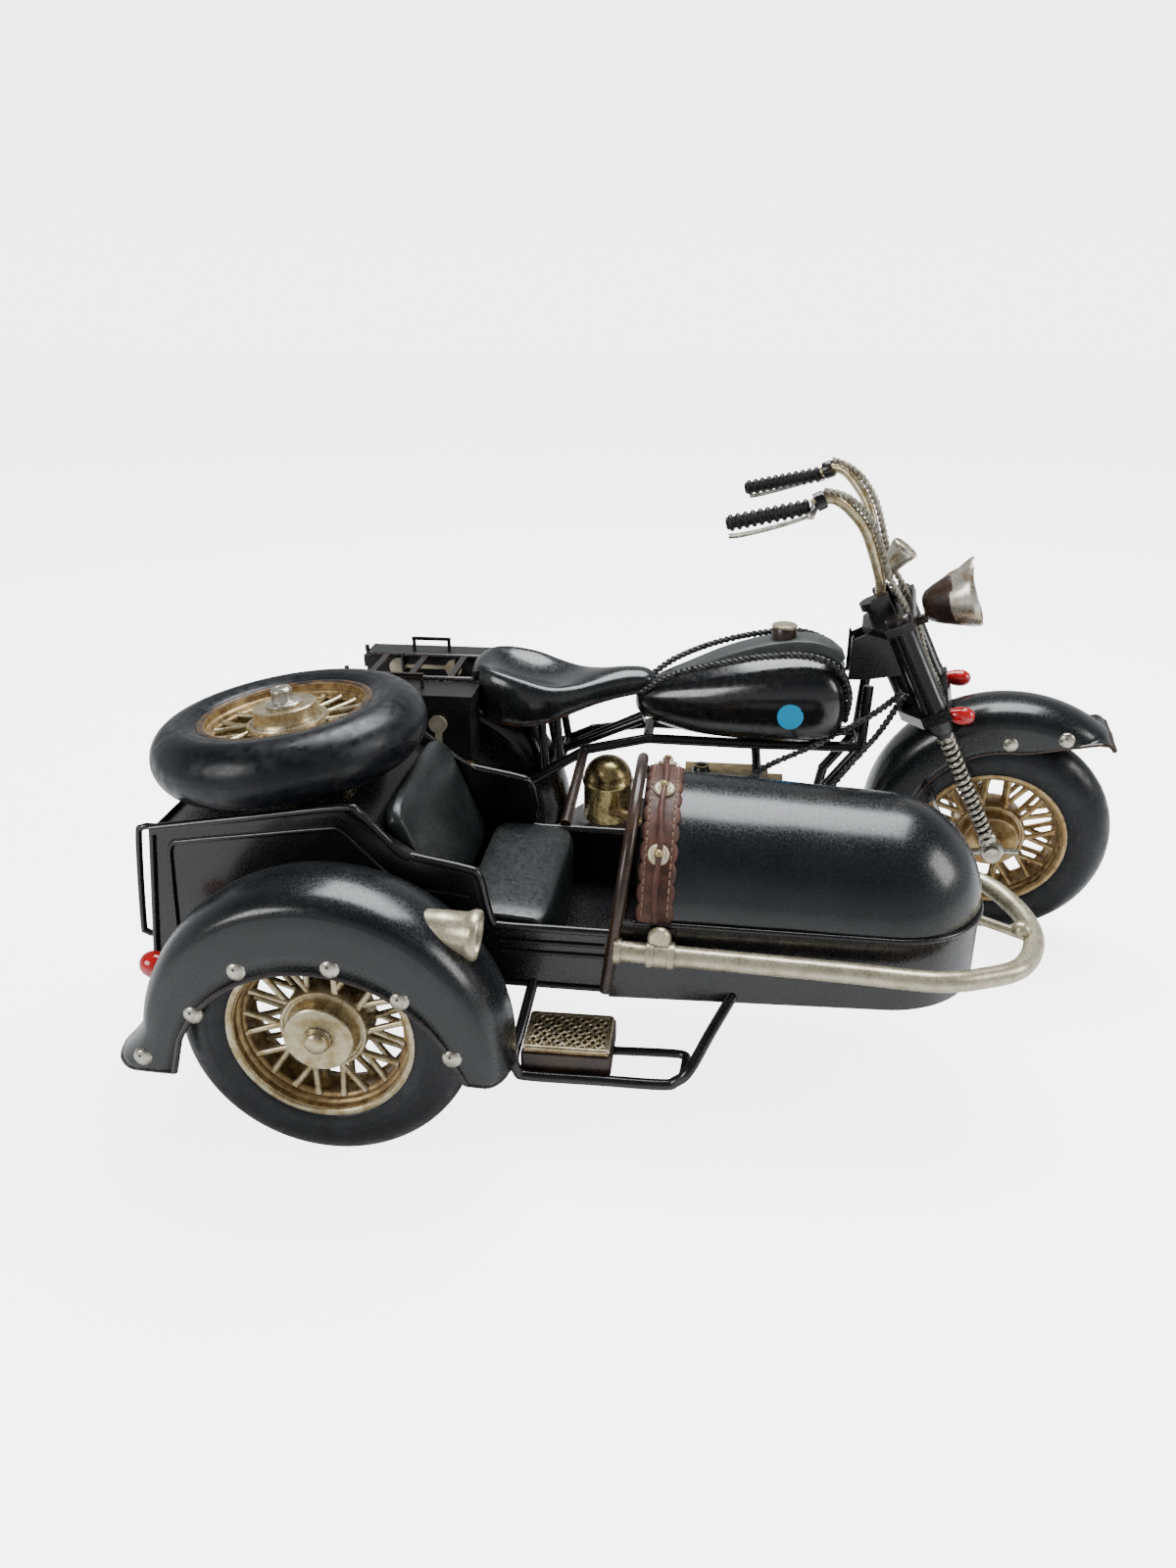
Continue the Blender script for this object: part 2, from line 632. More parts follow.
legs = Shape()
coils = Shape()
cores = Shape()
for side in (-1, 1):
    at_leg = FORK @ shift(0, side * FORK_HALF, 0)
    legs.lathe(
        [(0, 82.5), (3.2, 82.5), (LEG_R, 82.0), (LEG_R, 54), (LEG_R + 0.15, 53.6), (LEG_R + 0.15, 47),
         (LEG_R, 46.6), (LEG_R, 45), (3.2, 43.4), (2.4, 42.6), (2.2, 41.4), (0, 41.4)], at_leg, 40
    )
    turns = []
    for k in range(SPRING_STEPS * SPRING_TURNS + 1):
        a = 2 * math.pi * k / SPRING_STEPS
        height = SPRING_LOW + (SPRING_HIGH - SPRING_LOW) * k / (SPRING_STEPS * SPRING_TURNS)
        turns.append((SPRING_R * math.cos(a), SPRING_R * math.sin(a), height))
    coils.tube(turns, SPRING_WIRE, at_leg, 8)
    cores.lathe([(0, 3.0), (1.5, 3.0), (1.5, 42), (0, 42)], at_leg, 20)
    for z in (SPRING_LOW - 0.6, SPRING_HIGH - 0.6):
        coils.lathe([(0, z - 0.7), (2.7, z - 0.7), (2.7, z + 0.5), (0, z + 0.5)], at_leg, 28)
legs.piece("fork_leg_skins", "steering", "black_paint", "black_paint", ("fork_tubes",))
coils.piece("fork_spring_coils", "steering", "silver_metal", "silver_metal", ("fork_springs",), sharp=50)
cores.piece("fork_spring_cores", "steering", "black_paint", "black_paint")

# Eyes round the axle with their levers, and the thin rods beside the springs
eyes = Shape()
for side in (-1, 1):
    at_eye = FORK @ shift(0, side * FORK_HALF, 0)
    ring = [(0, -2.2), (2.9, -2.2), (3.5, -1.7), (3.5, 1.7), (2.9, 2.2), (0, 2.2)]
    eyes.lathe(ring, at_eye @ Z_TO_Y, 36)
    eyes.lathe([(1.4, -1.6), (2.4, -1.6), (2.7, -1.2), (2.7, 1.0), (1.4, 1.0)],
               at_eye @ shift(0, 0, 4) @ Z_TO_Y, 28, closed=True)
    eyes.tube(smooth_path([(-10, 0, 2.2), (-5, 0, 0.9), (0, 0, -0.6), (5, 0, -2.4), (7.2, 0, -3.4)], 4),
              lambda t: 1.25 - 0.3 * t, at_eye, 12)
    eyes.tube([(-9.8, 0, 1.8), (-10.4, 0, 12), (-10.6, 0, 23.6)], 0.75, at_eye, 12)
    eyes.lathe([(0, -1.9), (1.5, -1.9), (1.9, -1.5), (1.9, 1.5), (1.5, 1.9), (0, 1.9)],
               at_eye @ shift(-9.6, 0, 1.6) @ Z_TO_Y, 28)
eyes.piece("fork_eyes", "steering", "silver_metal", "silver_metal", ("fork_links",))
caps = Shape()
for side in (-1, 1):
    caps.lathe([(0, 22.6), (1.3, 22.6), (1.5, 23.2), (1.3, 25.6), (0.7, 26.6), (0, 26.7)],
               FORK @ shift(-10.6, side * FORK_HALF, 0), 20)
caps.piece("fork_rod_caps", "steering", "black_paint", "black_paint")


# ---------- fenders ----------

GUARD_X = 2.5
GUARD_Z = 3.5
GUARD_R = 42.8
GUARD_HALF = 10.8
GUARD_EDGE = ((-4, 30.4), (27, 37.8), (60, 40))


def guard_edge_height(x):
    """Height of the front fender's cut lower edge over the axle."""
    for (x0, z0), (x1, z1) in zip(GUARD_EDGE, GUARD_EDGE[1:]):
        if x <= x1:
            return z0 + (z1 - z0) * (x - x0) / (x1 - x0)
    return GUARD_EDGE[-1][1]


def guard_low(angle):
    """Radius at which the front fender's side ends, for one angle of the arch."""
    radius = 29.0
    while radius < GUARD_R - 0.4:
        x = GUARD_X + radius * math.cos(angle)
        if x < GUARD_EDGE[0][0] or GUARD_Z + radius * math.sin(angle) > guard_edge_height(x):
            break
        radius += 0.15
    return radius


def guard_section(low):
    """Outer half section of the front fender as (radius, y): a crowned top, a crease and a flat side."""
    top = [(GUARD_R, 0), (GUARD_R - 0.25, 3), (GUARD_R - 0.9, 5.8), (GUARD_R - 2.1, 8.2),
           (GUARD_R - 3.9, 9.9)]
    top += [(GUARD_R - 5.6, GUARD_HALF - 0.2), (GUARD_R - 7.4, GUARD_HALF)]
    return [(max(r, low), y) for r, y in top] + [(low, GUARD_HALF)]


AT_GUARD = STEER @ shift(FRONT_X + GUARD_X, 0, WHEEL_R + GUARD_Z)
GUARD_FROM = 50
GUARD_TO = 188
GUARD_STEPS = 92
guard_rows = []
guard_edges = {-1: [], 1: []}
for k in range(GUARD_STEPS + 1):
    a = math.radians(GUARD_FROM + (GUARD_TO - GUARD_FROM) * k / GUARD_STEPS)
    low = guard_low(a)
    half = stations(guard_section(low), 3)
    section = [(r, -y) for r, y in reversed(half)] + half[1:]
    guard_rows.append([(r * math.cos(a), y, r * math.sin(a)) for r, y in section])
    for side in (-1, 1):
        guard_edges[side].append((low * math.cos(a), side * GUARD_HALF, low * math.sin(a)))
Shape().grid(guard_rows, AT_GUARD).piece(
    "front_fender_skin", "steering", "cowl_paint", "black_paint", ("front_fender",), sharp=50, thick=0.9
)
rolled = Shape()
for side in (-1, 1):
    rolled.tube(guard_edges[side][::2], 0.55, AT_GUARD, 8)
rolled.tube(guard_rows[0][::2], 0.8, AT_GUARD, 8)
for side in (-1, 1):
    rolled.tube([(0, side * (GUARD_HALF - 0.3), 36), (0, side * (FORK_HALF - 2), 47.5)], 1.0, FORK, 10)
rolled.piece("front_fender_edge", "steering", "brown_black_paint", "black_paint")

ARCH_Z = 30.5
AT_ARCH = shift(SIDE.x, SIDE.y, ARCH_Z)
VALANCE = 10.6
OPENING_R = 35.8
OPENING_X = -0.5
OPENING_Z = 20 - ARCH_Z
WALL_Y = 21.5
ARCH_R = 44.5
ARCH_SIDE_R = 39.6
ARCH_FROM = -4
ARCH_SPAN = 176
ARCH_STEPS = 96
FRONT_TIP_STEPS = 6
FLARE_STEPS = 8

# The tail's flare: where its outer edge starts and ends, and where its inner edge ends
FLARE_START = (-44.1, 6.2)
TAIL_TIP = (-52, 26 - ARCH_Z)
FLARE_INNER = (-35.5, -5.0)


def opening_radius(angle):
    """Distance from the arch's centre to the wheel opening's edge."""
    c, s = math.cos(angle), math.sin(angle)
    along = OPENING_X * c + OPENING_Z * s
    across = OPENING_X**2 + OPENING_Z**2 - OPENING_R**2
    return along + math.sqrt(along**2 - across)


ARCH_TOP = [(ARCH_SIDE_R, -VALANCE), (41.2, -9.9), (42.6, -8.2), (43.6, -6.0), (44.2, -3.2), (ARCH_R, 0),
            (44.2, 4), (43.0, 8.6), (40.5, 13), (36.5, 17.6), (32, WALL_Y)]
arch_rows = []
opening_edge = []
for k in range(ARCH_STEPS + 1):
    a = math.radians(ARCH_FROM + ARCH_SPAN * k / ARCH_STEPS)
    inner = opening_radius(a)
    if k < FRONT_TIP_STEPS:
        inner += (38 - inner) * (1 - k / FRONT_TIP_STEPS) ** 2 * 0.3
    side = [(inner + (ARCH_SIDE_R - inner) * t, -VALANCE) for t in (0, 0.35, 0.7)]
    section = side + stations(ARCH_TOP, 4)
    arch_rows.append([(r * math.cos(a), y, r * math.sin(a)) for r, y in section])
    opening_edge.append(arch_rows[-1][0])
flare = []
last = arch_rows[-1]
last_inner = math.hypot(last[0][0], last[0][2])
for k in range(1, FLARE_STEPS + 1):
    t = k / FLARE_STEPS
    outer_x = FLARE_START[0] + (TAIL_TIP[0] - FLARE_START[0]) * t**1.3
    outer_z = FLARE_START[1] + (TAIL_TIP[1] - FLARE_START[1]) * t
    inner_x = last[0][0] + (FLARE_INNER[0] - last[0][0]) * t
    inner_z = last[0][2] + (FLARE_INNER[1] - last[0][2]) * t
    row = []
    for x, y, z in last:
        share = min(max((math.hypot(x, z) - last_inner) / (ARCH_R - last_inner), 0), 1)
        narrowed = y if y < 0 else y * (1 - 0.2 * t)
        row.append((inner_x + (outer_x - inner_x) * share, narrowed, inner_z + (outer_z - inner_z) * share))
    flare.append(row)
arch_rows += flare
opening_edge += [row[0] for row in flare]
Shape().grid(arch_rows, AT_ARCH).piece(
    "side_fender_skin", "chassis", "cowl_paint", "black_paint", ("side_fender",), sharp=50, thick=1.0
)
bead = Shape()
bead.tube(opening_edge[::2], 0.8, AT_ARCH, 8)
for row in (arch_rows[-1], arch_rows[0]):
    bead.tube(row[::2], 0.6, AT_ARCH, 8)
bead.tube([row[6] for row in arch_rows[70:]], 0.45, AT_ARCH, 8)
bead.piece("side_fender_bead", "chassis", "black_paint", "black_paint")


# ---------- studs ----------

STUD_PROUD = 0.9
STUD = [(0, -0.45), (0.9, -0.4), (1.9, 0.0), (2.3, 0.35), (2.45, 0.9), (2.3, 1.5), (0, 1.5)]


def studs(name, body, spots, node):
    """Flat hammered discs, each with a small dent near its top."""
    shape = Shape()
    dents = Shape()
    for at_stud in spots:
        shape.lathe(STUD, at_stud, 30)
        dents.lathe([(0, -0.49), (0.32, -0.48), (0.36, -0.3), (0, -0.3)], at_stud @ shift(-0.3, -0.9, 0),
                    14)
    shape.piece(name, body, "silver_metal", "silver_metal", (node,), sharp=50)
    dents.piece(name + "_dents", body, "black_paint", "silver_metal")


SIDE_STUDS = [(-42.5, 29.5), (-28.4, 42.6), (-16.4, 55.2), (5.6, 57.4), (21.1, 50), (32.4, 35.2)]
at_valance = shift(SIDE.x, SIDE.y - VALANCE - STUD_PROUD, 0)
studs("side_studs", "chassis", [at_valance @ shift(x, 0, z) @ Z_TO_Y for x, z in SIDE_STUDS],
      "side_fender_studs")
FRONT_STUDS = [(67, 41.3), (89, 35.2)]
front_spots = []
for a, r in FRONT_STUDS:
    a = math.radians(a)
    for side in (-1, 1):
        out = side * (GUARD_HALF + STUD_PROUD)
        place = AT_FRONT @ Z_TO_Y.inverted() @ shift(r * math.cos(a), out, r * math.sin(a))
        front_spots.append(place @ (Z_TO_Y if side < 0 else turn(90, "X")))
studs("front_studs", "steering", front_spots, "front_fender_studs")


# ---------- handlebar ----------

BAR_HALF = 21
BAR_R = 1.5
BAR = [(58.5, 0, 113.4), (58.5, 5, 114), (58, 7.5, 118.5), (55.4, 10.5, 127), (52.4, 14, 134.8),
       (48.8, 16.5, 139.8), (44.6, BAR_HALF - 2.4, 143.6), (40.8, BAR_HALF - 1.2, 144.2),
       (37.5, BAR_HALF - 0.4, 142.6)]
GRIP_IN = (37, BAR_HALF - 0.4, 142)
GRIP_OUT = (14.4, BAR_HALF + 0.6, 136.4)
LEVER = [(37.6, BAR_HALF + 2.6, 140.4), (33.5, BAR_HALF + 3.3, 138.9), (27, BAR_HALF + 3.5, 136.6),
         (19, BAR_HALF + 3.4, 134.2), (15.4, BAR_HALF + 3.0, 133.5)]
GRIP_RIBS = 11
GRIP_R = 2.4
GRIP_L = (Vector(GRIP_OUT) - Vector(GRIP_IN)).length

bars = Shape().tube(smooth_path(list(reversed(flip_y(BAR[1:]))) + BAR, 8), BAR_R, STEER, 20)
levers = Shape()
perches = Shape()
rubbers = Shape()
for side in (-1, 1):
    at = STEER if side > 0 else STEER @ Matrix.Scale(-1, 4, (0, 1, 0))
    levers.tube(smooth_path(LEVER, 8), lambda t: 0.62 + 0.18 * t, at, 12)
    levers.lathe([(0, -0.9), (1.0, -0.9), (1.2, -0.4), (1.2, 0.5), (0, 0.8)],
                 at @ aim(LEVER[0], (38.2, BAR_HALF + 1, 142.6)), 20)
    perches.tube([(38.6, BAR_HALF - 0.8, 142.9), (38.4, BAR_HALF + 1.2, 142.2),
                  (37.8, BAR_HALF + 2.9, 140.8)], 1.1, at, 12)
    perches.lathe([(0, -0.2), (2.3, -0.2), (2.6, 0.3), (2.6, 2.6), (0, 2.6)], at @ aim(BAR[-2], BAR[-1]),
                  28)
    outline = [(0, 0), (1.9, 0)]
    step = GRIP_L / GRIP_RIBS
    for rib in range(GRIP_RIBS):
        start = rib * step
        outline += [(1.75, start + 0.08 * step), (2.3, start + 0.22 * step),
                    (GRIP_R + 0.05, start + 0.42 * step), (2.3, start + 0.62 * step),
                    (1.75, start + 0.8 * step)]
    outline += [(1.9, GRIP_L - 0.1), (1.5, GRIP_L + 0.25), (0, GRIP_L + 0.3)]
    rubbers.lathe(outline, at @ aim(GRIP_IN, GRIP_OUT), 32)
bars.piece("handlebar_tube", "steering", "pale_gold", "silver_metal", ("handlebar",), sharp=50)
levers.piece("brake_levers", "steering", "silver_metal", "silver_metal", sharp=50)
perches.piece("lever_perches", "steering", "black_paint", "silver_metal")
rubbers.piece("ribbed_grips", "steering", "grip_rubber", "grip_rubber", ("grips",), sharp=60)

STEER_CABLE = [(40.6, BAR_HALF - 0.8, 146.5), (46, 18.4, 145.0), (50.8, 16.8, 141.4), (55, 13.8, 135.4),
               (58, 10.6, 127.4), (61, 8.6, 119), (66, 7.8, 111), (70.6, 8, 101), (74.6, 8, 90),
               (79.2, 8.4, 81)]
cords("steering_cords", "steering", (STEER_CABLE, flip_y(STEER_CABLE)), 14, 1.15, STEER, "frosted_cable",
      "steering_cables")

# ---------- headlight and speedometer ----------

AT_LAMP = STEER @ shift(85.2, 0, 113.3) @ turn(90 - 19, "Y")
shell = Shape().lathe(
    [(0, -14.6), (2.2, -14.5), (3.4, -14.1), (4.6, -13.2), (6.0, -10.4), (7.3, -7.0), (8.0, -5.2),
     (8.0, -4.0), (7.6, -4.4), (4.2, -11.8), (0, -12.4)], AT_LAMP, 64
)
shell.tube([(73.2, 0, 105.5), (66.6, 0, 102.6)], 1.5, STEER, 16)
shell.piece("headlight_bowl", "steering", "brown_black_paint", "brown_black_paint", ("headlight_shell",),
            sharp=45)

# Broad plated band, drawn out to a tall point at the top and a smaller one low on the near side
BAND = [(7.7, -6.1), (8.3, -4.6), (8.9, -2.4), (9.35, -0.8), (9.5, 0.5), (9.2, 1.0), (8.6, 0.8), (8.3, 0.3),
        (8.3, -0.8), (7.9, -4.2)]
NEAR_POINT = 2.5
BAND_SEGMENTS = 120
visor_rows = []
for k in range(BAND_SEGMENTS):
    a = 2 * math.pi * k / BAND_SEGMENTS
    peak = max(0.0, math.cos(a)) ** 5
    corner = 0.4 * max(0.0, math.cos(a - NEAR_POINT)) ** 14
    row = []
    for r, h in BAND:
        front = max(0.0, (h + 2.4) / 3.4)
        out = r + (peak + corner) * 2.0 * front
        height = h + (peak * 1.6 + corner) * front - 0.5 * math.sin(3 * a) * (h < -4)
        row.append((-out * math.cos(a), out * math.sin(a), height))
    visor_rows.append(row)
Shape().rings(visor_rows, AT_LAMP, closed=True).piece(
    "headlight_ring", "steering", "worn_plating", "silver_metal", sharp=45
)
Shape().lathe([(0, -0.7), (8.3, -0.7), (8.3, 0.1), (7.4, 0.45), (5, 0.9), (2.4, 1.15), (0, 1.2)], AT_LAMP,
              64).piece(
    "headlight_glass", "steering", "lens_glass", "lens_glass", ("headlight_lens",), sharp=60
)

AT_DIAL = STEER @ shift(60.6, 0, 121) @ turn(35, "Y")
Shape().lathe(
    [(0, -2.6), (2.1, -2.6), (2.5, -1.8), (2.9, 0.4), (3.8, 4.4), (4.15, 5.2), (4.2, 6.6), (3.9, 6.95),
     (3.5, 6.8), (3.4, 6.1), (0, 6.1)], AT_DIAL, 48
).piece("speedometer_cup", "steering", "silver_metal", "silver_metal", ("speedometer",), sharp=45)
dial = Shape().lathe([(0, 6.15), (3.3, 6.15), (3.3, 6.3), (0, 6.35)], AT_DIAL, 48)
dial.piece("speedometer_face", "steering", "cream_metal", "silver_metal")
marks = Shape()
for k in range(9):
    marks.box((2.3, -0.1, 6.36), (3.0, 0.1, 6.44), AT_DIAL @ turn(-120 + 30 * k, "Z"))
marks.box((-0.4, -0.12, 6.4), (2.4, 0.12, 6.52), AT_DIAL @ turn(40, "Z"))
marks.piece("speedometer_marks", "steering", "black_paint", "silver_metal")
Shape().lathe([(0, -3.4), (2.9, -3.4), (3.2, -2.8), (2.9, -1.6), (2.5, -1.2), (0, -1.2)], AT_DIAL,
              32).piece(
    "speedometer_base", "steering", "rust_gold", "silver_metal"
)

# ---------- tank ----------

TANK = [(-14.4, 0.8, 74.6, 77.0, 2.0), (-13.9, 3.2, 72.6, 79.4, 2.0), (-11.6, 6.0, 70.6, 81.6, 2.1),
        (-6, 8.9, 68.2, 84.2, 2.2), (4, 12.4, 66.2, 87.6, 2.3), (15, 15.2, 65.4, 90.9, 2.35),
        (26, 17.2, 65.2, 93.6, 2.4), (36, 18.0, 65.2, 94.8, 2.5), (43, 17.4, 65.8, 94.0, 2.5),
        (47.6, 15.4, 67.4, 91.6, 2.45), (50.0, 12.2, 70.4, 88.0, 2.3), (50.8, 7, 74, 84, 2.1)]
tank = Shape().rings([round_section(*row, 56) for row in stations(TANK, 6)], BIKE)
tank.piece("tank_skin", "chassis", "tank_gloss", "black_paint", ("fuel_tank",), sharp=60)

CONSOLE = [(-9.5, 0, 80.6), (-5, 0, 83.2), (2, 0, 86.4), (13, 0, 91.4), (25, 0, 95.2), (36, 0, 96.8),
           (44, 0, 95.6), (49, 0, 92)]
console_rows = []
console_points = smooth_path(CONSOLE, 6)
for k, (p, (along, _, _)) in enumerate(zip(console_points, path_frames(console_points))):
    half = 4.2 + 1.4 * min(1, k / 20)
    up = Vector((-along.z, 0, along.x))
    row = []
    for y, h in [(-half, -3), (-half, 0.4), (-half + 0.25, 0.8), (-half + 0.8, 1.0), (half - 0.8, 1.0),
                 (half - 0.25, 0.8), (half, 0.4), (half, -3)]:
        row.append(p + up * h + Vector((0, y, 0)))
    console_rows.append(row)
Shape().rings(console_rows, BIKE).piece(
    "tank_strip", "chassis", "grey_black_paint", "grey_black_paint", ("tank_console",), sharp=40
)

PIPING = [(-12.6, 5.2, 79.4), (-3, 8.2, 86.4), (10, 11.4, 91.4), (25, 12.8, 94.8), (38, 13.2, 95.4),
          (47, 12.4, 91.4), (51, 11, 83), (50.4, 9.6, 74)]
cords("tank_twisted_piping", "chassis", (PIPING, flip_y(PIPING)), 16, 1.25, BIKE, "black_cable",
      "tank_piping")

AT_FILLER = BIKE @ shift(31, 0, 0)
filler = Shape().lathe([(0, 95), (3.8, 95), (3.9, 95.6), (3.9, 100.2), (3.6, 100.6), (0, 100.6)], AT_FILLER,
                       40)
filler.piece("filler_neck", "chassis", "brown_black_paint", "brown_black_paint", ("filler_cap",), sharp=45)
Shape().lathe([(0, 100.5), (3.8, 100.5), (3.95, 100.8), (3.8, 101.3), (3.2, 101.55), (0, 101.6)], AT_FILLER,
              40).piece(
    "filler_lid", "chassis", "champagne_metal", "brown_black_paint", sharp=45
)

CABLE_A = [(20, -9.8, 50), (27, -11, 58), (42, -11.5, 66.5), (57, -10, 75.5), (64, -7.4, 80),
           (67.6, -5.2, 82.6)]
CABLE_B = [(44, -9.6, 44), (51, -10.6, 56.6), (60.6, -10, 70), (66, -7.8, 78.6), (68.6, -5.2, 81.8)]
cords("control_cords", "chassis", (CABLE_A, CABLE_B), 16, 1.2, BIKE, "black_cable", "control_cables")

# ---------- saddle ----------

# Each row: x, half width, skirt's lower edge, rim height at the sides, height in the middle
SADDLE = [(-66.2, 3.0, 75.5, 82.0, 84.0), (-65.2, 8.4, 74.0, 85.6, 87.0), (-62, 13.0, 72.6, 87.6, 87.4),
          (-56, 16.6, 71.8, 87.4, 83.6), (-48, 18.2, 71.6, 85.6, 81.0), (-40, 16.8, 72.6, 83.0, 80.8),
          (-33, 12.8, 74.8, 82.2, 82.2), (-26, 8.8, 76.6, 82.8, 84.0), (-19, 6.4, 78.2, 83.8, 85.4),
          (-13, 5.2, 79.4, 84.2, 85.6), (-9.8, 3.6, 80.4, 83.6, 84.6), (-8.8, 1.4, 81.2, 82.6, 83.2)]
saddle_rows = []
for x, half, low, rim, middle in stations(SADDLE, 5):
    side = [(half * 0.96, low), (half * 1.0, low + (rim - low) * 0.3),
            (half * 0.99, low + (rim - low) * 0.65), (half * 0.93, low + (rim - low) * 0.9),
            (half * 0.82, rim), (half * 0.66, rim + (middle - rim) * 0.35),
            (half * 0.4, rim + (middle - rim) * 0.8), (0, middle)]
    row = [(x, -y, z) for y, z in side] + [(x, y, z) for y, z in reversed(side[:-1])]
    saddle_rows.append(row)
Shape().grid(saddle_rows, BIKE).piece(
    "saddle_skin", "chassis", "black_seat", "black_seat", ("saddle",), sharp=80, subdivide=1, thick=0.9
)
edge = Shape()
rim_line = [row[0] for row in saddle_rows] + [row[-1] for row in reversed(saddle_rows)]
edge.tube(rim_line, 0.5, BIKE, 8, closed=True)
edge.piece("saddle_edge", "chassis", "brown_black_paint", "black_seat")

# ---------- sidecar ----------

SEAM = (-7, 54.5)
NOSE_DROP = 2
COWL_R = 27.5
HULL_R = 25.8
HULL_X = 55
COWL_LEN = HULL_X - SEAM[0]
COWL_SIDES = 72
TUB_HALF = 28
AT_NOSE = CAR @ shift(SEAM[0], 0, SEAM[1]) @ turn(NOSE_DROP, "Y")


def cowl_profile(steps_body=26, steps_dome=22):
    """Outline of the cowl as (x, radius), with a slight waist at the dome's seam."""
    made = []
    for k in range(steps_body + 1):
        t = k / steps_body
        groove = 0.22 * math.exp(-(((t - 0.985) / 0.008) ** 2))
        made.append((COWL_LEN * t, COWL_R + (HULL_R - COWL_R) * t - groove))
    for k in range(1, steps_dome + 1):
        a = math.pi / 2 * k / steps_dome
        made.append((COWL_LEN + HULL_R * math.sin(a), HULL_R * math.cos(a)))
    return made


cowl_rows = []
for x, radius in cowl_profile():
    angles = [math.pi * k / COWL_SIDES for k in range(COWL_SIDES + 1)]
    cowl_rows.append([(x, -radius * math.cos(a), max(radius, 0.02) * math.sin(a)) for a in angles])
cowl = Shape().grid(cowl_rows, AT_NOSE).piece(
    "cowl_skin", "chassis", "cowl_paint", "black_paint", ("sidecar_cowl",), sharp=60
)
dents = bpy.data.textures.new("panel_dents", "CLOUDS")
dents.noise_scale = 22 * MM
dents.noise_depth = 1
push = cowl.modifiers.new("dents", "DISPLACE")
push.texture = dents
push.texture_coords = "LOCAL"
push.strength = 0.5 * MM
push.mid_level = 0.5
solid = cowl.modifiers.new("thickness", "SOLIDIFY")
solid.thickness = 1.0 * MM
solid.offset = -1

# Flange bead where the cowl sits on the hull
profile = cowl_profile(20, 20)
seam_line = [(x, -radius - 0.5, 0.2) for x, radius in profile]
seam_line += [(x, radius + 0.5, 0.2) for x, radius in reversed(profile[:-1])]
Shape().tube(seam_line, 0.75, AT_NOSE, 10).piece(
    "cowl_flange", "chassis", "black_paint", "black_paint", sharp=60
)

# Leather band: scalloped along both edges, with a stitched line inside each
BAND_START = 0.2
BAND_W = 9.4
BAND_T = 0.9
SCALLOPS = 17


def band_point(across, degrees, lift):
    """Place on the band: share across its width, angle from the top, and height over the cowl."""
    x = BAND_START + BAND_W * across
    radius = COWL_R + (HULL_R - COWL_R) * x / COWL_LEN + lift
    a = math.radians(degrees)
    return (x, -radius * math.sin(a), radius * math.cos(a))


band_rows = []
BAND_STEPS = 340
for k in range(BAND_STEPS + 1):
    degrees = -89 + 178 * k / BAND_STEPS
    wave = abs(math.sin(math.pi * SCALLOPS * k / BAND_STEPS)) ** 0.6
    inset = 0.085 * (1 - wave)
    row = []
    for across, lift in ((inset, 0.12), (inset + 0.03, 0.7), (0.14, BAND_T), (0.2, BAND_T),
                         (0.35, BAND_T + 0.1), (0.65, BAND_T + 0.1), (0.8, BAND_T), (0.86, BAND_T),
                         (0.97 - inset, 0.7), (1 - inset, 0.12)):
        row.append(band_point(across, degrees, lift))
    band_rows.append(row)
Shape().grid(band_rows, AT_NOSE).piece(
    "leather_band", "chassis", "brown_leather", "brown_leather", ("strap_band",), sharp=70
)
stitches = Shape()
STITCH_STEP = 4.0
STITCH_SPAN = 2.5
for across in (0.17, 0.83):
    degrees = -86.0
    while degrees < 85:
        ends = []
        for t in (0, 0.25, 0.5, 0.75, 1):
            lift = BAND_T + 0.05 + 0.25 * math.sin(math.pi * t)
            ends.append(band_point(across, degrees + t * STITCH_SPAN, lift))
        stitches.tube(ends, 0.2, AT_NOSE, 6)
        degrees += STITCH_STEP
stitches.piece("band_stitches", "chassis", "thread", "brown_leather")

# Grommets, and the lace between them
EYELET_ANGLES = (54, 16, -21, -58)
grommets = Shape()
hooks = Shape()
for degrees in EYELET_ANGLES:
    centre = Vector(band_point(0.5, degrees, BAND_T + 0.05))
    place = AT_NOSE @ aim(centre, band_point(0.5, degrees, 5))
    grommets.lathe([(1.15, 0), (2.5, 0), (2.7, 0.3), (2.5, 0.9), (1.9, 1.15), (1.35, 0.9)], place, 40,
                   closed=True)
    hooks.lathe([(0, 0.3), (0.9, 0.5), (1.25, 1.4), (1.1, 2.3), (0.6, 2.8), (0, 2.9)], place, 24)
grommets.piece("band_grommets", "chassis", "cream_metal", "cream_metal", ("strap_eyelets",), sharp=60)
hooks.piece("band_hooks", "chassis", "gold_paint", "cream_metal", sharp=60)
lace = Shape()
lace_line = []
for degrees in range(-86, 87, 2):
    lace_line.append(band_point(0.5 + 0.03 * math.sin(math.radians(degrees * 9)), degrees, BAND_T + 1.9))
lace.tube(lace_line, 0.75, AT_NOSE, 10)
lace.piece("band_lace", "chassis", "brown_leather", "brown_leather", ("strap_lace",), sharp=60)
loops = Shape()
for degrees in EYELET_ANGLES:
    for side in (-1, 1):
        line = []
        for t in (0, 0.2, 0.4, 0.6, 0.8, 1):
            swell = math.sin(math.pi * t)
            line.append(band_point(0.5 + side * 0.13 * swell, degrees - 5 + 10 * t,
                                   BAND_T + 0.9 + 0.8 * swell))
        loops.tube(line, 0.42, AT_NOSE, 8)
loops.piece("lace_loops", "chassis", "cream_metal", "cream_metal", sharp=60)

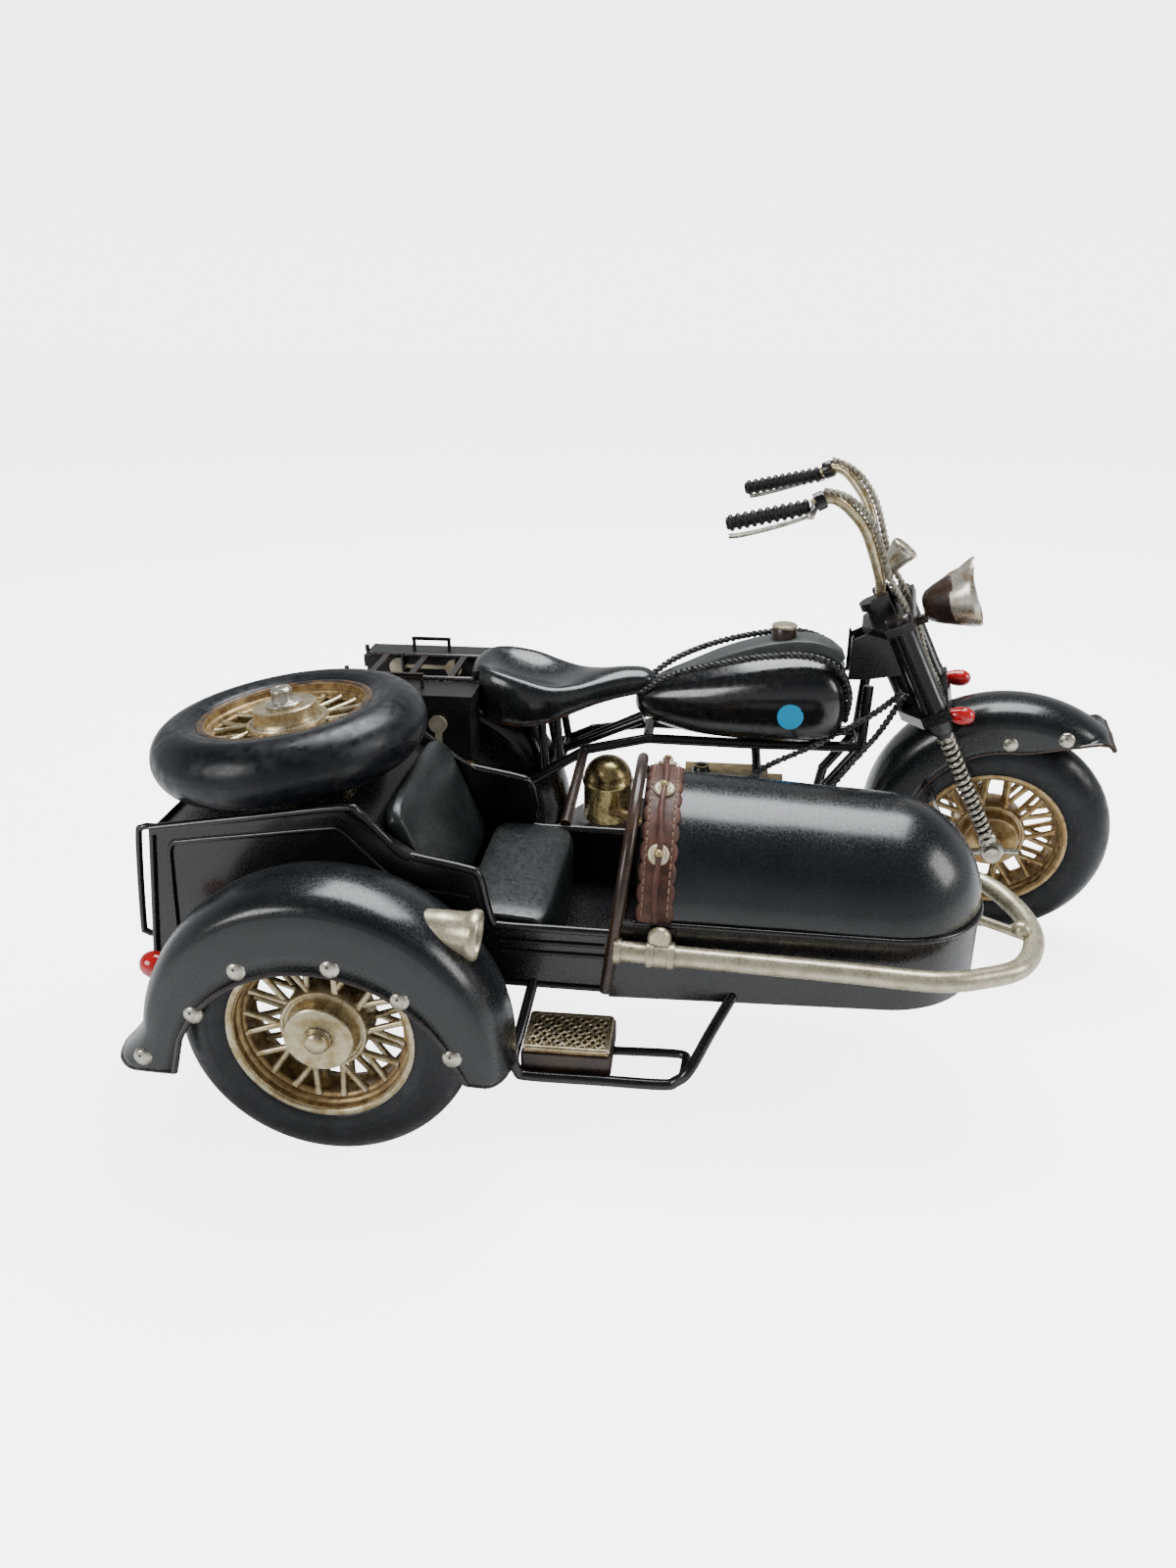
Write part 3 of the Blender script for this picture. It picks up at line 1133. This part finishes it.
# Rail round the sidecar's nose, with a flattened far end
RAIL_R = 2.6
RAIL_Y = TUB_HALF + RAIL_R + 0.5
RAIL = [(-10.9, -RAIL_Y, 48.4), (20, -RAIL_Y, 47.1), (45, -RAIL_Y, 46), (66, -RAIL_Y, 45),
        (78.5, -RAIL_Y + 4.4, 44.2), (88, -20.6, 43.8), (93.8, -9, 43.6), (94.4, 3, 44), (90, 15, 45),
        (82, 24, 46.5)]
rail = Shape().tube(smooth_path(RAIL, 8), lambda t: RAIL_R * min(1, 1.02 - max(0, t - 0.9) * 3), CAR, 24)
rail.piece("crash_rail_tube", "chassis", "champagne_metal", "champagne_metal", ("crash_rail",), sharp=50)
clamp = Shape()
for x, wide in ((-10.6, 0.5), (-2.6, 0.7), (2.4, 0.7)):
    clamp.lathe([(RAIL_R, -1.0), (RAIL_R + wide, -0.8), (RAIL_R + wide + 0.1, 0), (RAIL_R + wide, 0.8),
                 (RAIL_R, 1.0)],
                CAR @ shift(x, -RAIL_Y, 48.4 - 0.043 * (x + 10.9)) @ turn(92.4, "Y"), 36)
clamp.lathe([(RAIL_R, -3.0), (RAIL_R + 0.5, -2.8), (RAIL_R + 0.5, 2.8), (RAIL_R, 3.0)],
            CAR @ shift(0, -RAIL_Y, 47.9) @ turn(92.4, "Y"), 36)
clamp.lathe([(0, -1.1), (2.4, -1.0), (2.9, -0.4), (2.9, 0.5), (2.3, 1.0), (0, 1.1)],
            CAR @ shift(-0.4, -RAIL_Y + 0.2, 52.4) @ Z_TO_Y, 32)
clamp.tube([(-0.4, -RAIL_Y, 50), (-0.4, -RAIL_Y, 52)], 1.0, CAR, 12)
clamp.tube([(HULL_X + HULL_R - 0.6, -3, 47), (92, -6, 44.4)], 1.3, CAR, 12)
clamp.lathe([(0, 0), (2.3, 0), (2.5, 0.4), (2.5, 1.6), (1.9, 2.3), (1.2, 3.0), (0, 3.1)],
            CAR @ shift(91, -5.8, 45.2), 28)
clamp.piece("rail_fittings", "chassis", "champagne_metal", "silver_metal", ("rail_clamps",), sharp=45)

# Wire arch round the cockpit's front edge
AT_HOOP = CAR @ shift(-11.2, 0, 54.5) @ turn(7.2, "Y")
hoop_line = [(0, -30, -19), (0, -30, -9)]
hoop_line += [(0, -30 * math.cos(math.radians(a)), 30 * math.sin(math.radians(a))) for a in range(0, 181, 5)]
hoop_line += [(0, 30, -9), (0, 30, -19)]
Shape().tube(hoop_line, 1.5, AT_HOOP, 16).piece(
    "cockpit_wire", "chassis", "brown_black_paint", "black_paint", ("cockpit_hoop",), sharp=60
)

# Rounded wire along each wall's top edge, and the pressed bead on the outer wall
SILL = [(-127, 74), (-104, 77.8), (-78, 82), (-73.5, 80.6), (-64.5, 71.2), (-60, 69.6), (-48.5, 67.4),
        (-45, 65.6), (-43.4, 58), (-42, 53), (-39.5, 51.9), (-26, 51.7), (-12, 51.5)]
sill = Shape()
for side, forward in ((-1, 0), (1, 3.5)):
    line = [(x + (forward if x > -70 and z > 54 else 0), side * (TUB_HALF + 0.3), z) for x, z in SILL]
    sill.tube(smooth_path(line, 5), 1.15, CAR, 12)
sill.piece("sill_wire", "chassis", "black_paint", "black_paint", sharp=60)

PRESSED = [(-124.6, 44), (-123.6, 62), (-122.6, 69.4), (-118, 70.9), (-100, 73.6), (-82, 76.2),
           (-78.6, 75.8), (-74, 71), (-66, 62.6), (-62.5, 60.6), (-54, 60.2), (-47.5, 59.4)]
pressing = Shape()
line = smooth_path([(x, -TUB_HALF - 0.1, z) for x, z in PRESSED], 5)
pressing.tube(line, 0.75, CAR, 10)
for z in (47.6, 44.6):
    pressing.tube([(-40, -TUB_HALF - 0.1, z), (-25, -TUB_HALF - 0.1, z), (-14, -TUB_HALF - 0.1, z - 0.1)],
                  0.6, CAR, 10)
pressing.tube([(-131.4, -TUB_HALF - 0.1, 37), (-127, -TUB_HALF - 0.1, 73.4)], 0.9, CAR, 10)
pressing.tube([(-131, -TUB_HALF - 0.1, 36.6), (-80, -TUB_HALF - 0.1, 36), (-12, -TUB_HALF - 0.1, 35)], 0.8,
              CAR, 10)
pressing.piece("pressed_beads", "chassis", "black_paint", "black_paint", sharp=60)

# Rear guard wire
Shape().tube(
    smooth_path([(-127, -26, 73.4), (-130.4, -26.4, 73.2), (-131.8, -26.5, 70), (-134.4, -26.5, 46),
                 (-134, -26.4, 43), (-131.4, -26, 42)], 6),
    0.85, CAR, 12
).piece("rear_guard_wire", "chassis", "black_paint", "black_paint", ("rear_guard",), sharp=60)


CUSHION_STEPS = 24


def cushion(name, outline, half, nodes):
    """Soft-edged seat part: an outline in X and Z, narrowing and rounding towards its two ends."""
    rows = []
    centre = (sum(x for x, _ in outline) / len(outline), sum(z for _, z in outline) / len(outline))
    for k in range(CUSHION_STEPS + 1):
        t = -1 + 2 * k / CUSHION_STEPS
        y = half * t
        scale = 1 - abs(t) ** 8 * 0.18 if abs(t) < 1 else 0.8
        rows.append([(centre[0] + (x - centre[0]) * scale, y, centre[1] + (z - centre[1]) * scale) for x,
                     z in outline])
    Shape().rings(rows, CAR).piece(name, "chassis", "seat_vinyl", "black_seat", nodes, sharp=50, bevel=0.5)


BACK = [(-69.4, 79.6), (-67.6, 81.2), (-65.4, 80.8), (-63.9, 78.8), (-60.8, 71), (-57, 61.6), (-53.4, 53.2),
        (-53.4, 51), (-55.4, 49.8), (-57.6, 50.8), (-61, 58.6), (-65.6, 69.8)]
cushion("seat_back_skin", BACK, 25.4, ("sidecar_seat",))
BASE = [(-50.2, 36.6), (-27.8, 36.2), (-27.4, 50.6), (-28.6, 53.0), (-31, 54.0), (-40, 54.8), (-48, 55.2),
        (-50.4, 54.6)]
cushion("seat_base_skin", BASE, 26.4, ())

# ---------- step ----------

STEP_Y = -41.5
STEP_Z = 18.4
step = Shape()
step.tube(smooth_path([(-32, -27, 36.2), (-34, -36, 27.6), (-35, STEP_Y - 1, 23),
                       (-33.8, STEP_Y - 1.4, 19.4), (-31.5, STEP_Y - 1.5, STEP_Z),
                       (-14, STEP_Y - 1.5, STEP_Z), (1.5, STEP_Y - 1.5, STEP_Z), (5, STEP_Y - 1.2, 19.4),
                       (8.2, STEP_Y - 0.5, 22.6), (13, -34, 28.2), (18, -26.4, 34)], 5), 1.4, CAR, 14)
step.tube(smooth_path([(-12, -33.5, 20.4), (2, -33.5, 20.8), (6.8, -34.2, 21), (7.2, -36.5, 21.2),
                       (6.8, STEP_Y - 0.6, 21.6)], 5), 1.1, CAR, 12)
step.piece("step_wires", "chassis", "black_paint", "black_paint", ("step_frame",), sharp=60)
tray = Shape().box((-33.4, STEP_Y - 0.4, 18.6), (-11, STEP_Y + 16.2, 24.4), CAR)
tray.piece("step_box", "chassis", "brown_black_paint", "black_paint", bevel=0.6)

PLATE = (-32.9, STEP_Y - 0.2, 24.4)
PLATE_L = 21.4
PLATE_W = 15.2
AT_PLATE = CAR @ shift(*PLATE)
plate = Shape().box((0.2, 0.2, 0), (PLATE_L - 0.2, PLATE_W - 0.2, 0.7), AT_PLATE)
plate.piece("step_plate_base", "chassis", "rust_gold", "gold_paint", ("step_plate",), bevel=0.15)
border = Shape()
corners = [(0.6, 0.6), (PLATE_L - 0.6, 0.6), (PLATE_L - 0.6, PLATE_W - 0.6), (0.6, PLATE_W - 0.6)]
for (x0, y0), (x1, y1) in zip(corners, corners[1:] + corners[:1]):
    border.tube([(x0, y0, 1.1), ((x0 + x1) / 2, (y0 + y1) / 2, 1.1), (x1, y1, 1.1)], 0.75, AT_PLATE, 12)
border.piece("step_plate_frame", "chassis", "pale_gold", "gold_paint", sharp=60)
mesh = Shape()
MESH_STEP = 2.5
for slope in (-1, 1):
    offset = -PLATE_W
    while offset < PLATE_L + PLATE_W:
        ends = []
        for k in range(41):
            y = 1 + (PLATE_W - 2) * k / 40
            x = offset + slope * y
            if 1 < x < PLATE_L - 1:
                ends.append((x, y, 1.15 + 0.28 * math.sin(math.pi * (x + y * slope) / MESH_STEP)))
        if len(ends) > 2:
            mesh.tube(ends, 0.36, AT_PLATE, 8)
        offset += MESH_STEP
mesh.piece("step_plate_mesh", "chassis", "pale_gold", "gold_paint", sharp=60)

# ---------- lamps on the sidecar's fender ----------

AT_CONE = shift(SIDE.x + 19.8, SIDE.y - 0.4, 63.8) @ turn(96, "Y")
Shape().lathe(
    [(0, 0), (2.8, 0.1), (3.6, 0.8), (4.2, 3), (4.8, 10), (5.1, 14.6), (5.6, 15.6), (5.95, 16.4),
     (5.9, 17.6), (5.5, 18.0), (4.9, 17.8), (4.7, 16.8), (4.4, 14.4), (0, 13.6)], AT_CONE, 56
).piece("fender_lamp_cone", "chassis", "champagne_metal", "champagne_metal", ("fender_lamp",), sharp=50)
Shape().lathe([(0, 14.2), (4.5, 14.8), (4.6, 15.2), (2.6, 15.8), (0, 16.0)], AT_CONE, 40).piece(
    "fender_lamp_glass", "chassis", "rust_gold", "champagne_metal"
)

TAIL_ANGLE = 160
AT_TAIL = shift(SIDE.x, SIDE.y + 3, ARCH_Z) @ turn(-TAIL_ANGLE, "Y") @ shift(44, 0, 0) @ turn(90, "Y")
Shape().lathe(
    [(0, 0), (3.5, 0), (3.6, 0.5), (3.4, 1.0), (3.35, 2.4), (3.1, 3.8), (2.4, 5.0), (1.3, 5.8), (0, 6.0)],
    AT_TAIL, 40
).piece("tail_lamp_lens", "chassis", "red_plastic", "red_plastic", ("tail_lamp",), sharp=60)

red = Shape()
for side in (-1, 1):
    at_red = FORK @ shift(LEG_R - 0.3, side * (FORK_HALF + 1.5), 48.6) @ turn(90 + RAKE, "Y")
    red.lathe([(0, 0), (1.6, 0), (1.9, 0.8), (2.5, 2.4), (2.7, 4.2), (2.5, 5.6), (1.9, 6.8), (0.9, 7.5),
               (0, 7.6)], at_red, 36)
red.piece("indicator_lenses", "steering", "red_plastic", "red_plastic", ("indicators",), sharp=60)

# ---------- engine dress ----------

AT_DOME = BIKE @ shift(-22.5, -7, 0)
DOME_R = 7.9
outline = [(0, 37), (DOME_R - 0.4, 37), (DOME_R, 37.5), (DOME_R, 48.8), (DOME_R + 0.35, 49.2),
           (DOME_R + 0.35, 50.4), (DOME_R - 0.1, 50.8)]
for k in range(1, 13):
    a = math.radians(4 + 86 * k / 12)
    outline.append((DOME_R * math.cos(a), 50.5 + (DOME_R - 0.3) * math.sin(a)))
Shape().lathe(outline, AT_DOME, 64).piece("brass_housing", "chassis", "brass", "brass", ("brass_dome",),
                                          sharp=50)
hose = Shape()
hose.tube(smooth_path([(2, -7, 42), (7, -10, 42), (13, -9, 38), (16, -3, 33)], 8), 1.7, AT_DOME, 16)
hose.lathe([(0, 37), (3.5, 37), (3.6, 37.4), (3.6, 45), (3.0, 46), (0, 46)], AT_DOME @ shift(0, 9, 0), 32)
hose.piece("brass_hose", "chassis", "rust_gold", "brass", sharp=60)
caps = Shape()
caps.lathe([(0, 50), (2.6, 50), (2.9, 50.5), (2.9, 53.6), (2.4, 54.8), (1.2, 55.4), (0, 55.5)],
           BIKE @ shift(7.4, -3.5, 0), 32)
caps.lathe([(0, 50), (1.7, 50), (1.9, 50.4), (1.9, 53.0), (1.2, 53.8), (0, 54)],
           BIKE @ shift(-10.5, -3.5, 0), 24)
caps.piece("engine_caps", "chassis", "black_paint", "brown_black_paint", sharp=50)

# ---------- floor, light and camera ----------

FLOOR_HALF = 3000
FLOOR_TOP = -0.02
FLOOR_GLOW = 4.2
BACKDROP = 4.0


def stage_floor():
    """Plain near-white sheet, brighter to the camera than to the object it lights."""
    shape = Shape().box((-FLOOR_HALF, -FLOOR_HALF, -20), (FLOOR_HALF, FLOOR_HALF, FLOOR_TOP))
    mesh_data = bpy.data.meshes.new("floor")
    mesh_data.from_pydata([v * MM for v in shape.verts], [], shape.faces)
    floor = new_object("floor", mesh_data)
    n = Nodes("floor")
    seen = n.node("ShaderNodeLightPath").outputs["Is Camera Ray"]
    n.set(
        Base_Color=n.mix(n.noise(0.01, 2), (0.9, 0.905, 0.91), (0.93, 0.935, 0.94)),
        Roughness=n.ramp(n.noise(0.05, 3), 0.3, 0.7, 0.3, 0.4),
        Specular_IOR_Level=0.3,
        Emission_Color=(1.0, 1.0, 1.0),
        Emission_Strength=n.math("MULTIPLY", seen, FLOOR_GLOW),
    )
    floor.data.materials.append(n.material)


def soft_light(name, place, target, size, power, tint=(1, 1, 1)):
    """Square studio light that faces a target."""
    lamp = bpy.data.lights.new(name, "AREA")
    lamp.shape = "RECTANGLE"
    lamp.size, lamp.size_y = size
    lamp.energy = power
    lamp.color = tint
    obj = new_object(name, lamp)
    obj.location = place
    obj.rotation_euler = (Vector(target) - Vector(place)).to_track_quat("-Z", "Y").to_euler()


def studio_world():
    """White backdrop for the camera; dim overhead and brighter low down for everything else."""
    world = bpy.data.worlds.new("studio")
    world.use_nodes = True
    tree = world.node_tree
    background = tree.nodes["Background"]
    background.inputs["Color"].default_value = (0.95, 0.97, 1, 1)
    seen = tree.nodes.new("ShaderNodeLightPath").outputs["Is Camera Ray"]
    height = tree.nodes.new("ShaderNodeSeparateXYZ")
    tree.links.new(tree.nodes.new("ShaderNodeTexCoord").outputs["Generated"], height.inputs["Vector"])
    fall = tree.nodes.new("ShaderNodeMapRange")
    for key, number in (("From Min", 0.0), ("From Max", 0.6), ("To Min", 0.75), ("To Max", 0.12)):
        fall.inputs[key].default_value = number
    tree.links.new(height.outputs["Z"], fall.inputs["Value"])
    lift = tree.nodes.new("ShaderNodeMath")
    lift.operation = "MULTIPLY_ADD"
    lift.inputs[1].default_value = BACKDROP
    tree.links.new(seen, lift.inputs[0])
    tree.links.new(fall.outputs["Result"], lift.inputs[2])
    tree.links.new(lift.outputs["Value"], background.inputs["Strength"])
    bpy.context.scene.world = world


stage_floor()
soft_light("overhead", (0.05, 0.25, 0.75), (0, 0, 0.04), (0.6, 0.45), 11.0, (0.95, 0.975, 1))
soft_light("front_left", (-0.75, -0.7, 0.6), (0, 0, 0.05), (0.45, 0.45), 6.5)
soft_light("right", (0.9, -0.1, 0.5), (0, 0, 0.05), (0.35, 0.45), 4.0)
studio_world()

# The camera's place is measured from the middle of the motorcycle's wheelbase
CAMERA_AT = Vector((9.2, -349.5, 199.8))
CAMERA_TILT = 66.221
CAMERA_TURN = 6.367
CAMERA_LENS = 26.59

camera_data = bpy.data.cameras.new("camera")
camera_data.sensor_width = 36
camera_data.lens = CAMERA_LENS
camera = new_object("camera", camera_data)
camera.location = (CAMERA_AT + Vector((MID_X, REAR.y, 0))) * MM
camera.rotation_euler = (math.radians(CAMERA_TILT), 0, math.radians(CAMERA_TURN))
bpy.context.scene.camera = camera

bpy.context.view_layer.update()
